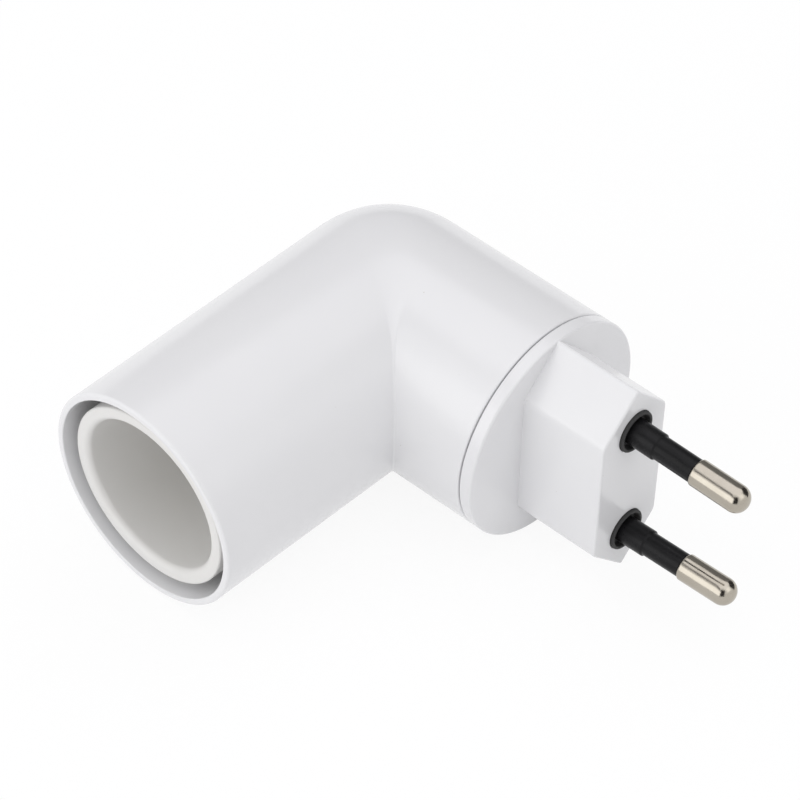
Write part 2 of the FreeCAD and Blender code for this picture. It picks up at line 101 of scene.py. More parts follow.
# Path through corners (u, v, round). A round corner becomes an arc tangent to both sides: its centre is the
# corner plus the bisector times round / sin(half the angle). A straight run gets points at
# (1 - cos(pi k)) / 2, which crowd towards its ends, so that a flat looks flat right up to a small round.
def cornerPath(corners, closed=True, arcSteps=8, runSteps=6):
    table = np.array(corners, float)
    point, size = table[:, :2], table[:, 2:]
    before = np.roll(point, 1, 0) - point
    after = np.roll(point, -1, 0) - point
    before /= np.linalg.norm(before, axis=1, keepdims=True)
    after /= np.linalg.norm(after, axis=1, keepdims=True)
    half = np.arccos(np.clip((before * after).sum(1, keepdims=True), -1, 1)) / 2
    bisector = before + after
    bisector /= np.maximum(np.linalg.norm(bisector, axis=1, keepdims=True), 1e-9)
    start = point + before * size / np.tan(half)
    end = point + after * size / np.tan(half)
    centre = point + bisector * size / np.sin(half)
    sweep = (np.pi - 2 * half)[:, None]
    share = np.linspace(0, 1, arcSteps + 1)[None, :, None]
    first, last = (start - centre)[:, None], (end - centre)[:, None]
    spokes = first * np.sin((1 - share) * sweep) + last * np.sin(share * sweep)
    arcs = centre[:, None] + spokes / np.maximum(np.sin(sweep), 1e-9)
    crowd = (1 - np.cos(np.pi * np.arange(1, runSteps + 1) / (runSteps + 1))) / 2
    runs = end[:, None] + (np.roll(start, -1, 0) - end)[:, None] * crowd[None, :, None]
    path = np.concatenate([arcs, runs], 1).reshape(-1, 2)
    if not closed:
        path = path[: len(path) - runSteps]
    apart = np.linalg.norm(path - np.roll(path, 1, 0), axis=1) > 1e-6
    apart[0] = apart[0] or not closed
    return path[apart]


# Turned surface: each (radius, height) point of the path, at every angle round the axis of place.
def turned(corners, place, columns, closed=True, arcSteps=8):
    path = cornerPath(corners, closed, arcSteps)
    angle = np.arange(columns) * fullTurn / columns
    return place(path[:, :1], path[:, 1:], angle[None]), closed, True


# Meshes grids of points (in mm) with quads, merges what meets, turns the faces outwards and shades it.
def finishPiece(name, sheets, body, stoodFor, material):
    points, quads, count = [], [], 0
    for grid, closedRows, closedColumns in sheets:
        index = np.arange(grid.shape[0] * grid.shape[1]).reshape(grid.shape[:2]) + count
        index = np.vstack([index, index[:1]]) if closedRows else index
        index = np.hstack([index, index[:, :1]]) if closedColumns else index
        corners = (index[:-1, :-1], index[1:, :-1], index[1:, 1:], index[:-1, 1:])
        quads.append(np.stack(corners, -1).reshape(-1, 4))
        points.append(grid.reshape(-1, 3))
        count += grid.shape[0] * grid.shape[1]
    mesh = bpy.data.meshes.new(name)
    mesh.from_pydata((np.concatenate(points) * mm).tolist(), [], np.concatenate(quads).tolist())
    dressPiece(name, mesh, body, stoodFor, material)


sharpAngle = 32  # degrees, past which an edge shows as a crease


def dressPiece(name, mesh, body, stoodFor, material):
    work = bmesh.new()
    work.from_mesh(mesh)
    bmesh.ops.remove_doubles(work, verts=work.verts, dist=1e-7)
    bmesh.ops.recalc_face_normals(work, faces=work.faces)
    work.to_mesh(mesh)
    work.free()
    mesh.polygons.foreach_set("use_smooth", np.ones(len(mesh.polygons), bool))
    mesh.set_sharp_from_angle(angle=np.radians(sharpAngle))
    piece = bpy.data.objects.new(name, mesh)
    bpy.context.scene.collection.objects.link(piece)
    mesh.materials.append(material)
    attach(piece, body)
    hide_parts(*stoodFor)
    print(name, len(mesh.polygons), "faces")
    return piece


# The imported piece's own form, merged into one skin and shaded smooth, for small parts deep inside.
def skinOf(node, name, body, material):
    return dressPiece(name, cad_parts[node].data.copy(), body, [node], material)


# Materials

def toLinear(hexText):  # sRGB hex to linear colour
    value = np.array([int(hexText[i:i + 2], 16) for i in (1, 3, 5)]) / 255
    linear = np.where(value <= 0.04045, value / 12.92, ((value + 0.055) / 1.055) ** 2.4)
    return (*linear.tolist(), 1.0)


def perMetre(size):  # texture scale whose features are this many millimetres across
    return 1 / (size * mm)


def addNode(tree, kind, settings, links=None):
    node = tree.nodes.new("ShaderNode" + kind)
    for key, value in settings.items():
        if isinstance(key, str) and hasattr(node, key):
            setattr(node, key, value)
        else:
            node.inputs[key].default_value = value
    for key, output in (links or {}).items():
        tree.links.new(output, node.inputs[key])
    return node


def newMaterial(name, colour, roughness, metallic=0.0, ior=None):
    material = bpy.data.materials.new(name)
    material.use_nodes = True
    tree = material.node_tree
    shader = tree.nodes["Principled BSDF"]
    shader.inputs["Base Color"].default_value = toLinear(colour)
    shader.inputs["Roughness"].default_value = roughness
    shader.inputs["Metallic"].default_value = metallic
    if ior:
        shader.inputs["IOR"].default_value = ior
    return material, tree, shader


def objectPoint(tree, stretch=(1, 1, 1)):
    place = addNode(tree, "TexCoord", {}).outputs["Object"]
    return addNode(tree, "Mapping", {"Scale": stretch}, {"Vector": place}).outputs["Vector"]


# Injection-moulded white ABS, glossy from a polished mould: faint flow waves a few millimetres long, a soft
# uneven gloss, hardly any colour drift, and the odd grey speck of burnt resin a fifth of a millimetre wide.
glossyAbs = {
    "colour": "#EEEEEF",
    "drift": "#E9E9EB",
    "speck": "#CFCDC9",
    "flowSize": 5.0,
    "flowDepth": 0.018,
    "driftSize": 18.0,
    "hazeSize": 9.0,
    "speckSpacing": 2.4,
    "speckShare": 0.028,  # the speck's radius as a share of the spacing
    "speckBlur": 1.6,  # how many radii out its soft edge ends
    "speckFree": 0.93,  # share of the places for a speck that have none
    "roughness": (0.18, 0.26),
}


def makeGlossyAbs(name, shade):
    material, tree, shader = newMaterial(name, shade["colour"], shade["roughness"][0], ior=1.54)
    point = objectPoint(tree)
    drift = addNode(
        tree, "TexNoise", {"Scale": perMetre(shade["driftSize"]), "Detail": 2.0}, {"Vector": point})
    cells = addNode(tree, "TexVoronoi", {"Scale": perMetre(shade["speckSpacing"])}, {"Vector": point})
    inner, outer = shade["speckShare"], shade["speckShare"] * shade["speckBlur"]
    isSpeck = addNode(
        tree, "MapRange", {"From Min": inner, "From Max": outer, "To Min": 1.0, "To Max": 0.0},
        {"Value": cells.outputs["Distance"]},
    )
    rare = addNode(tree, "SeparateColor", {}, {"Color": cells.outputs["Color"]})
    rareEnough = addNode(
        tree, "Math", {"operation": "GREATER_THAN", 1: shade["speckFree"]}, {0: rare.outputs["Red"]})
    speck = addNode(
        tree, "Math", {"operation": "MULTIPLY"},
        {0: isSpeck.outputs["Result"], 1: rareEnough.outputs["Value"]},
    )
    base = addNode(
        tree, "Mix",
        {"data_type": "RGBA", 6: toLinear(shade["colour"]), 7: toLinear(shade["drift"])},
        {"Factor": drift.outputs["Fac"]},
    )
    colour = addNode(
        tree, "Mix", {"data_type": "RGBA", 7: toLinear(shade["speck"])},
        {"Factor": speck.outputs["Value"], 6: base.outputs[2]},
    )
    tree.links.new(colour.outputs[2], shader.inputs["Base Color"])
    haze = addNode(
        tree, "TexNoise", {"Scale": perMetre(shade["hazeSize"]), "Detail": 1.0}, {"Vector": point})
    gloss = addNode(
        tree, "MapRange", {"To Min": shade["roughness"][0], "To Max": shade["roughness"][1]},
        {"Value": haze.outputs["Fac"]},
    )
    tree.links.new(gloss.outputs["Result"], shader.inputs["Roughness"])
    flow = addNode(
        tree, "TexNoise", {"Scale": perMetre(shade["flowSize"]), "Detail": 1.0}, {"Vector": point})
    waves = addNode(tree, "Bump", {"Distance": shade["flowDepth"] * mm}, {"Height": flow.outputs["Fac"]})
    tree.links.new(waves.outputs["Normal"], shader.inputs["Normal"])
    return material


# Moulded plastic with a satin face: spark-eroded mould grain a few tenths of a millimetre wide, which
# breaks up the gloss, and a colour that drifts along the flow.
def makeSatinPlastic(name, shade):
    material, tree, shader = newMaterial(name, shade["colour"], shade["roughness"][0], ior=shade["ior"])
    shader.inputs["Specular IOR Level"].default_value = shade.get("sheenLevel", 0.5)
    point = objectPoint(tree)
    along = objectPoint(tree, shade.get("stretch", (1, 1, 1)))
    drift = addNode(
        tree, "TexNoise", {"Scale": perMetre(shade["driftSize"]), "Detail": 3.0}, {"Vector": along})
    base = addNode(
        tree, "Mix",
        {"data_type": "RGBA", 6: toLinear(shade["colour"]), 7: toLinear(shade["drift"])},
        {"Factor": drift.outputs["Fac"]},
    )
    tree.links.new(base.outputs[2], shader.inputs["Base Color"])
    grain = addNode(
        tree, "TexNoise", {"Scale": perMetre(shade["grainSize"]), "Detail": 2.0}, {"Vector": point})
    gloss = addNode(
        tree, "MapRange", {"To Min": shade["roughness"][0], "To Max": shade["roughness"][1]},
        {"Value": grain.outputs["Fac"]},
    )
    tree.links.new(gloss.outputs["Result"], shader.inputs["Roughness"])
    bump = addNode(tree, "Bump", {"Distance": shade["grainDepth"] * mm}, {"Height": grain.outputs["Fac"]})
    tree.links.new(bump.outputs["Normal"], shader.inputs["Normal"])
    return material


# Plated, drawn or turned metal: fine lines along the way it was worked, and a slight tarnish in clouds.
tarnishSize = 2.5


def makeWorkedMetal(name, shade):
    material, tree, shader = newMaterial(name, shade["colour"], shade["roughness"][0], metallic=1.0)
    point = objectPoint(tree, shade["stretch"])
    plain = objectPoint(tree)
    cloud = addNode(
        tree, "TexNoise", {"Scale": perMetre(tarnishSize), "Detail": 3.0}, {"Vector": plain})
    base = addNode(
        tree, "Mix",
        {"data_type": "RGBA", 6: toLinear(shade["colour"]), 7: toLinear(shade["tarnish"])},
        {"Factor": cloud.outputs["Fac"]},
    )
    tree.links.new(base.outputs[2], shader.inputs["Base Color"])
    lines = addNode(
        tree, "TexNoise", {"Scale": perMetre(shade["lineSize"]), "Detail": 3.0}, {"Vector": point})
    gloss = addNode(
        tree, "MapRange", {"To Min": shade["roughness"][0], "To Max": shade["roughness"][1]},
        {"Value": lines.outputs["Fac"]},
    )
    tree.links.new(gloss.outputs["Result"], shader.inputs["Roughness"])
    bump = addNode(tree, "Bump", {"Distance": shade["lineDepth"] * mm}, {"Height": lines.outputs["Fac"]})
    tree.links.new(bump.outputs["Normal"], shader.inputs["Normal"])
    return material


whiteAbs = makeGlossyAbs("InjectionMouldedWhiteAbs", glossyAbs)
# Warm white PBT of the inner tube: a little creamier and duller than the housing.
warmPbt = makeSatinPlastic("InjectionMouldedWarmPbt", {
    "colour": "#E9E8E6", "drift": "#E4E3E0", "driftSize": 12.0, "grainSize": 0.4, "grainDepth": 0.0015,
    "roughness": (0.32, 0.42), "ior": 1.55,
})
# Black glass-filled nylon of the pin sleeves: satin, with a fine grain and grey scuffs along the pin.
blackNylon = makeSatinPlastic("MouldedBlackNylon", {
    "colour": "#040404", "drift": "#262628", "driftSize": 0.8, "stretch": (0.15, 1, 1), "grainSize": 0.3,
    "grainDepth": 0.008, "roughness": (0.18, 0.46), "ior": 1.53, "sheenLevel": 0.13,
})
# Black glass-filled PBT of the pin carrier: a shade duller than the sleeves.
blackPbt = makeSatinPlastic("MouldedBlackPbt", {
    "colour": "#0A0A0B", "drift": "#141415", "driftSize": 3.0, "grainSize": 0.3, "grainDepth": 0.006,
    "roughness": (0.26, 0.5), "ior": 1.55, "sheenLevel": 0.06,
})
# Cream urea moulding of the socket base: dense, slightly mottled, half matt.
creamUrea = makeSatinPlastic("PressedCreamUrea", {
    "colour": "#E3DFD3", "drift": "#D6D0C1", "driftSize": 1.6, "grainSize": 0.25, "grainDepth": 0.003,
    "roughness": (0.4, 0.55), "ior": 1.6,
})
# Soft PVC insulation: waxy and a little uneven from extrusion.
brownPvc = makeSatinPlastic("ExtrudedBrownPvc", {
    "colour": "#5A3A24", "drift": "#4C2F1C", "driftSize": 3.0, "grainSize": 0.5, "grainDepth": 0.004,
    "roughness": (0.4, 0.52), "ior": 1.53,
})
bluePvc = makeSatinPlastic("ExtrudedBluePvc", {
    "colour": "#2D62A6", "drift": "#24538F", "driftSize": 3.0, "grainSize": 0.5, "grainDepth": 0.004,
    "roughness": (0.4, 0.52), "ior": 1.53,
})
# Nickel-plated brass pins: warm silver, with scratches along the pin from being pushed into sockets.
nickelPin = makeWorkedMetal("NickelPlatedBrassPin", {
    "colour": "#B9B3A8", "tarnish": "#A49D91", "stretch": (0.06, 1, 1), "lineSize": 0.12,
    "lineDepth": 0.004, "roughness": (0.12, 0.24),
})
# Deep-drawn nickel-plated brass shell: rings round the barrel from rolling the thread.
nickelShell = makeWorkedMetal("RolledNickelPlatedBrass", {
    "colour": "#C9C3B8", "tarnish": "#AFA697", "stretch": (0.15, 1, 0.15), "lineSize": 0.2,
    "lineDepth": 0.002, "roughness": (0.2, 0.36),
})
# Stamped brass contacts, slightly dulled.
stampedBrass = makeWorkedMetal("StampedBrass", {
    "colour": "#C2A25C", "tarnish": "#A08040", "stretch": (1, 0.2, 1), "lineSize": 0.15,
    "lineDepth": 0.002, "roughness": (0.24, 0.4),
})
# Bright zinc-plated steel screws, faintly cloudy.
zincSteel = makeWorkedMetal("ZincPlatedSteel", {
    "colour": "#B9BCBE", "tarnish": "#9EA2A2", "stretch": (1, 1, 1), "lineSize": 0.3,
    "lineDepth": 0.002, "roughness": (0.28, 0.45),
})
# Drawn spring wire: darker, with lines along the wire.
springWire = makeWorkedMetal("DrawnSpringSteel", {
    "colour": "#8F8D89", "tarnish": "#6F6C67", "stretch": (1, 0.3, 1), "lineSize": 0.15,
    "lineDepth": 0.002, "roughness": (0.25, 0.4),
})
print("materials made")


# Elbow housing

elbowShape = {
    "mouthRadius": 16.6,
    "seamRadius": 16.85,
    "boreRadius": 15.2,
    "mouthBoreRadius": 15.53,
    "mouthRound": 0.4,
    "mouthInnerRound": 0.18,
    "seamRound": 0.25,
    "mitreRound": 0.3,
    "crownRound": 0.04,
    "fadeSpan": 0.35,  # cos v over which the mitre's round gives way to the crown's
    "crownBlend": 4.0,  # the mitre melts into the crown, where both arms lie level
    "meltStart": 0.8,  # cos v where it starts to melt
    "meltSpan": 0.7,
    "rimLength": 1.5,
    "grooveMiddle": 3.78,  # of the snap groove, back from the seam
    "grooveHalfWidth": 0.75,
    "grooveDepth": 0.25,
    "postRadius": 2.6,
    "postOffset": 9.8,
    "postStart": 39.1,
    "postEnd": 60.8,
    "postBore": 1.12,
    "postBoreDepth": 7.0,
    "postColumns": 48,
    "columns": 288,
    "barrelRows": 30,
    "bendRows": 28,
    "armRows": 20,
}


def easeUp(t):  # 0 before 0, 1 after 1 and smooth between: 3 t^2 - 2 t^3
    t = np.clip(t, 0, 1)
    return t * t * (3 - 2 * t)


# One skin of the elbow, from the mouth's rim to the seam's rim. v runs round the section, from the inner
# corner. Barrel: (R cos v, -t, R sin v). Arm: (t, -R cos v, R sin v). Both meet the bend at t = m, where
# the arc centre + r (-cos f, sin f), f from 0 to 90 degrees, joins them: centre = (m, -m),
# m = max(R cos v, 0) + e and r = max(-R cos v, 0) + e. That is a ball outside and a mitre inside. The
# round e is small in the mitre, grows towards the crown, so that the crease melts away there, and is all
# but gone on the ball.
def elbowSkin(v, radius, rimRadius, seamRadius, rimAt, seamAt):
    s = elbowShape
    cosine = np.cos(v)[None]
    fade = easeUp(cosine / s["fadeSpan"])
    melt = easeUp((s["meltStart"] - cosine) / s["meltSpan"])
    end = easeUp((cosine + s["fadeSpan"]) / s["fadeSpan"])
    e = s["crownRound"] + (s["mitreRound"] - s["crownRound"]) * fade + s["crownBlend"] * melt * end
    m = np.maximum(radius * cosine, 0) + e
    r = np.maximum(-radius * cosine, 0) + e
    share = ((1 - np.cos(np.pi * np.linspace(0, 1, s["barrelRows"]))) / 2)[1:-1, None]
    rowRadius = rimRadius + (radius - rimRadius) * share
    t = rimAt + (m - rimAt) * share
    barrel = (rowRadius * cosine, -t, rowRadius * np.sin(v)[None])
    f = np.linspace(0, np.pi / 2, s["bendRows"])[:, None]
    bend = (m - r * np.cos(f), -m + r * np.sin(f), radius * np.sin(v)[None] + 0 * f)
    share = ((1 - np.cos(np.pi * np.linspace(0, 1, s["armRows"]))) / 2)[1:-1, None]
    rowRadius = radius + (seamRadius - radius) * share
    t = m + (seamAt - m) * share
    arm = (t, -rowRadius * cosine, rowRadius * np.sin(v)[None])
    rows = [np.stack(np.broadcast_arrays(*part), -1) for part in (barrel, bend, arm)]
    return np.concatenate(rows) + np.array((elbowX, 0, 0))


def makeElbowHousing():
    s = elbowShape
    v = np.arange(s["columns"]) * fullTurn / s["columns"]
    rimAt = barrelLength - s["rimLength"]
    seamAt = armReach - s["rimLength"]
    grooveAt = armReach - s["grooveMiddle"]
    pastGroove = grooveAt - s["rimLength"]
    mouthRim = cornerPath([
        (s["mouthBoreRadius"], rimAt, 0),
        (s["mouthBoreRadius"], barrelLength, s["mouthInnerRound"]),
        (s["mouthRadius"], barrelLength, s["mouthRound"]),
        (s["mouthRadius"], rimAt, 0),
    ], closed=False)
    seamRim = cornerPath([
        (s["seamRadius"], seamAt, 0),
        (s["seamRadius"], armReach, s["seamRound"]),
        (s["boreRadius"], armReach, s["mouthInnerRound"]),
        (s["boreRadius"], grooveAt + s["grooveHalfWidth"], 0),
        (s["boreRadius"] + s["grooveDepth"], grooveAt, 0),
        (s["boreRadius"], grooveAt - s["grooveHalfWidth"], 0),
        (s["boreRadius"], pastGroove, 0),
    ], closed=False)
    angle = v[None]
    mouth = onBarrel(mouthRim[:, :1], barrelLength - mouthRim[:, 1:], angle)
    seam = np.stack(np.broadcast_arrays(
        elbowX + seamRim[:, 1:], -seamRim[:, :1] * np.cos(angle), seamRim[:, :1] * np.sin(angle)), -1)
    outside = elbowSkin(v, elbowRadius, s["mouthRadius"], s["seamRadius"], rimAt, seamAt)
    inside = elbowSkin(v, s["boreRadius"], s["mouthBoreRadius"], s["boreRadius"], rimAt, pastGroove)
    sheets = [(np.concatenate([mouth, outside, seam, inside[::-1]]), True, True)]
    for side in (1, -1):
        # Screw post behind the lamp socket: it runs back until y = sqrt(R^2 - z^2 - x^2), with R in the
        # middle of the ball's wall and x counted only on the corner's side, as the other side is straight.
        def onPost(r, h, a):
            point = onBarrel(r, h, a) + np.array((0, 0, side * s["postOffset"]))
            middle = (elbowRadius + s["boreRadius"]) / 2
            off = np.minimum(point[..., 0] - elbowX, 0)
            root = np.sqrt(middle ** 2 - point[..., 2] ** 2 - off ** 2)
            point[..., 1] = np.where(h >= s["postEnd"], root, point[..., 1])
            return point
        sheets.append(turned([
            (0, s["postStart"] + s["postBoreDepth"], 0),
            (s["postBore"], s["postStart"] + s["postBoreDepth"], 0),
            (s["postBore"], s["postStart"], 0),
            (s["postRadius"], s["postStart"], 0),
            (s["postRadius"], s["postEnd"], 0),
            (0, s["postEnd"], 0),
        ], onPost, s["postColumns"], closed=False))
    finishPiece("elbowHousing", sheets, "holder", ["elbow_housing"], whiteAbs)


makeElbowHousing()


# Plug cap

capShape = {
    "faceX": -13.8,
    "rimWidth": 2.0,
    "rimRadius": 16.85,
    "edgeRound": 0.35,
    "seamRound": 0.25,
    "discBack": -16.4,
    "spigotRadius": 15.12,
    "spigotBore": 13.62,
    "spigotEnd": -21.0,
    "beadMiddle": -19.8,
    "beadHalfWidth": 0.6,
    "beadHeight": 0.25,
    "bossHalfWidth": 6.5,
    "bossHalfHeight": 16.8,
    "bossDraft": 0.1,
    "bossFoot": -14.15,
    "bossApexRound": 0.35,
    "bossShoulderRound": 1.6,
    "bossFaceRound": 0.3,
    "pocketHalfWidth": 4.8,
    "pocketHalfHeight": 14.4,
    "pocketRound": 0.3,
    "pocketReach": 13.5,  # the pocket's corners stop short of the spigot
    "pocketMargin": 0.05,
    "faceThickness": 2.6,
    "collarHole": 3.23,
    "postRadius": 2.5,
    "postOffset": 10.6,
    "postEnd": -20.0,
    "postBore": 1.12,
    "postBoreEnd": -15.0,
    "postColumns": 48,
    "rimRuns": 48,
    "faceRuns": 12,
    "faceSplit": 26,  # points across the face, between the two collars
    "faceRows": 7,  # from the face's edge to a collar
    "sideRows": 12,
    "roundRows": 8,
    "pocketRows": 6,
}


# Six-sided outline (y, z) with 45 degree shoulders, from half way up one side, over the top and back.
def hexLoop(halfWidth, halfHeight, shoulderRound, apexRound, runSteps):
    shoulder = halfHeight - halfWidth
    return cornerPath([
        (halfWidth, 0, 0),
        (halfWidth, shoulder, shoulderRound),
        (0, halfHeight, apexRound),
        (-halfWidth, shoulder, shoulderRound),
        (-halfWidth, 0, 0),
        (-halfWidth, -shoulder, shoulderRound),
        (0, -halfHeight, apexRound),
        (halfWidth, -shoulder, shoulderRound),
    ], runSteps=runSteps)


def pocketLoop(runSteps):
    s = capShape
    corner = s["pocketRound"]
    loop = hexLoop(s["pocketHalfWidth"], s["pocketHalfHeight"], corner, corner, runSteps)
    reach = np.linalg.norm(loop, axis=1, keepdims=True)
    return loop * np.minimum(1, s["pocketReach"] / reach)


def atX(x, loop):  # an outline (y, z) set at a place along the plug's axis
    return np.stack([np.full(len(loop), float(x)), loop[:, 0], loop[:, 1]], -1)


# Boss outline at x: it grows by the draft towards its foot, and near the face it draws in along a quarter
# circle, inset = round (1 - sin f) at x = -round (1 - cos f). A 45 degree shoulder moves by inset sqrt 2.
def bossLoop(x, inset):
    s = capShape
    growth = s["bossDraft"] * x / s["bossFoot"]
    width = s["bossHalfWidth"] + growth - inset
    height = s["bossHalfHeight"] + growth - inset * np.sqrt(2)
    shoulderRound, apexRound = s["bossShoulderRound"] - inset, s["bossApexRound"] - inset
    return atX(x, hexLoop(width, height, shoulderRound, apexRound, s["faceRuns"]))


# Half of the boss's face, as rays from the outline to the rim of the collar's hole, then the hole's wall,
# and rays out again to the pocket's outline behind the face.
def faceHalf(front, pocket, side):
    s = capShape
    half = len(front) // 2
    centre = np.array((0, side * pinShape["spacing"] / 2))

    def closedHalf(loop):
        part = loop[: half + 1] if side > 0 else np.concatenate([loop[half:], loop[:1]])
        share = np.linspace(0, 1, s["faceSplit"])[1:-1, None]
        return np.concatenate([part, part[-1] + (part[0] - part[-1]) * share])

    outer, inner = closedHalf(front), closedHalf(pocket)
    rows = []
    for edge, x in ((outer, 0.0), (inner, -s["faceThickness"])):
        ray = edge[:, 1:] - centre
        rim = atX(x, centre + ray / np.linalg.norm(ray, axis=1, keepdims=True) * s["collarHole"])
        share = np.linspace(0, 1, s["faceRows"])[:, None, None]
        rows.append(edge[None] + (rim - edge)[None] * share)
    return np.concatenate([rows[0], rows[1][::-1]]), False, True


def makePlugCap():
    s = capShape
    f = np.linspace(0, np.pi / 2, s["roundRows"])
    faceRound = s["bossFaceRound"]
    sides = [bossLoop(x, 0) for x in np.linspace(s["bossFoot"], -faceRound, s["sideRows"])[:-1]]
    sides += [bossLoop(-faceRound * (1 - np.cos(a)), faceRound * (1 - np.sin(a))) for a in f[::-1]]
    pocket = pocketLoop(s["faceRuns"])
    walls = [atX(x, pocket) for x in np.linspace(-s["faceThickness"], s["bossFoot"], s["pocketRows"])]
    sheets = [(np.array(walls + sides), False, True)]
    sheets += [faceHalf(sides[-1], walls[0], side) for side in (1, -1)]
    # rim, seam face, snap bead and spigot: a turned path whose columns follow the pocket's outline
    hole = pocketLoop(s["rimRuns"])
    angle = np.arctan2(hole[:, 1], hole[:, 0])[None]
    seamX = s["faceX"] - s["rimWidth"]
    path = cornerPath([
        (s["pocketReach"] + s["pocketMargin"], s["faceX"], 0),
        (s["rimRadius"], s["faceX"], s["edgeRound"]),
        (s["rimRadius"], seamX, s["seamRound"]),
        (s["spigotRadius"], seamX, 0),
        (s["spigotRadius"], s["beadMiddle"] + s["beadHalfWidth"], 0),
        (s["spigotRadius"] + s["beadHeight"], s["beadMiddle"], 0),
        (s["spigotRadius"], s["beadMiddle"] - s["beadHalfWidth"], 0),
        (s["spigotRadius"], s["spigotEnd"], s["edgeRound"]),
        (s["spigotBore"], s["spigotEnd"], s["edgeRound"]),
        (s["spigotBore"], s["discBack"], 0),
    ], closed=False)
    rim = onPlug(path[:, :1], path[:, 1:], angle)
    holeRows = [atX(x, hole)[None] for x in (s["discBack"], s["faceX"])]
    sheets.append((np.concatenate([rim] + holeRows), True, True))
    for side in (1, -1):  # the posts that the pin carrier is screwed to
        def onPost(r, h, a):
            return onPlug(r, h, a) + np.array((0, side * s["postOffset"], 0))
        sheets.append(turned([
            (0, s["postBoreEnd"], 0),
            (s["postBore"], s["postBoreEnd"], 0),
            (s["postBore"], s["postEnd"], 0),
            (s["postRadius"], s["postEnd"], 0),
            (s["postRadius"], s["bossFoot"], 0),
            (0, s["bossFoot"], 0),
        ], onPost, s["postColumns"], closed=False))
    finishPiece("plugCap", sheets, "holder", ["plug_cap"], whiteAbs)


makePlugCap()


# Pins and sleeves

sleeveShape = {
    "radius": 1.76,
    "rootRadius": 1.98,
    "rootLength": 4.4,
    "step": 0.2,
    "stepRound": 0.06,
    "edgeRound": 0.1,
    "seatEnd": -4.5,
    "bore": 1.42,
    "end": 10.48,
}


def makePins():
    p = pinShape
    s = sleeveShape
    for label, side in (("upper", 1), ("lower", -1)):
        metal = turned([
            (0, p["length"], 0),
            (p["radius"], p["length"], p["tipRound"]),
            (p["radius"], p["metalStart"], p["edgeRound"]),
            (p["coreRadius"], p["metalStart"], 0),
            (p["coreRadius"], p["tailStart"], 0),
            (p["tailRadius"], p["tailStart"], 0),
            (p["tailRadius"], p["tailEnd"], p["edgeRound"]),
            (p["tailBore"], p["tailEnd"], 0),
            (p["tailBore"], p["tailEnd"] + p["tailBoreDepth"], 0),
            (0, p["tailEnd"] + p["tailBoreDepth"], 0),
        ], onPin(side), p["columns"], closed=False, arcSteps=p["roundSteps"])
        finishPiece(label + "Pin", [metal], "holder", [label + "_pin"], nickelPin)
        sleeve = turned([
            (s["bore"], s["end"], 0),
            (s["radius"], s["end"], s["edgeRound"]),
            (s["radius"], s["rootLength"], 0),
            (s["rootRadius"], s["rootLength"] - s["step"], s["stepRound"]),
            (s["rootRadius"], s["seatEnd"], 0),
            (s["bore"], s["seatEnd"], 0),
        ], onPin(side), p["columns"])
        finishPiece(
            label + "PinSleeve", [sleeve], "holder", [label + "_pin_sleeve"], blackNylon)


makePins()
skinOf("pin_carrier", "pinCarrier", "holder", blackPbt)


# Lamp tube, screw shell and sprung contact

tubeShape = {
    "recess": 1.1,
    "radius": 13.9,
    "wall": 2.2,
    "rimRound": 0.3,
    "innerRound": 1.0,
    "throat": 18.1,
    "throatRound": 1.2,
    "throatChamfer": 1.4,
    "throatRadius": 8.0,
    "collarWall": 1.3,
    "web": 2.2,
    "skirtRadius": 12.68,
    "collarEnd": 32.22,
    "end": 35.62,
    "columns": 192,
    "roundSteps": 10,
}


def makeHolderTube():
    s = tubeShape
    inner = s["radius"] - s["wall"]
    tube = turned([
        (inner, s["recess"], s["innerRound"]),
        (s["radius"], s["recess"], s["rimRound"]),
        (s["radius"], s["end"], 0),
        (s["skirtRadius"], s["end"], 0),
        (s["skirtRadius"], s["throat"] + s["web"], 0),
        (s["throatRadius"] + s["collarWall"], s["throat"] + s["web"], 0),
        (s["throatRadius"] + s["collarWall"], s["collarEnd"], 0),
        (s["throatRadius"], s["collarEnd"], 0),
        (s["throatRadius"], s["throat"] + s["throatChamfer"], 0),
        (s["throatRadius"] + s["throatChamfer"], s["throat"], 0),
        (inner, s["throat"], s["throatRound"]),
    ], onBarrel, s["columns"], arcSteps=s["roundSteps"])
    finishPiece("holderTube", [tube], "holder", ["holder_tube"], warmPbt)


makeHolderTube()

shellShape = {
    "radius": 6.6,
    "metal": 0.35,
    "flare": 0.7,
    "top": 18.8,
    "bodyTop": 20.2,
    "taperTop": 30.8,
    "neckTop": 31.9,
    "bottom": 33.5,
    "neckRadius": 5.9,
    "holeRadius": 3.5,
    "neckRound": 0.5,
    "bottomRound": 0.45,
    "bottomInnerRound": 0.2,
    "lipRound": 0.1,
    "lipHeight": 0.2,
    "pitch": 2.822,
    "ridge": 0.38,  # half the height of the rolled thread
    "threadFade": 1.6,
    "columns": 192,
    "rows": 120,
}


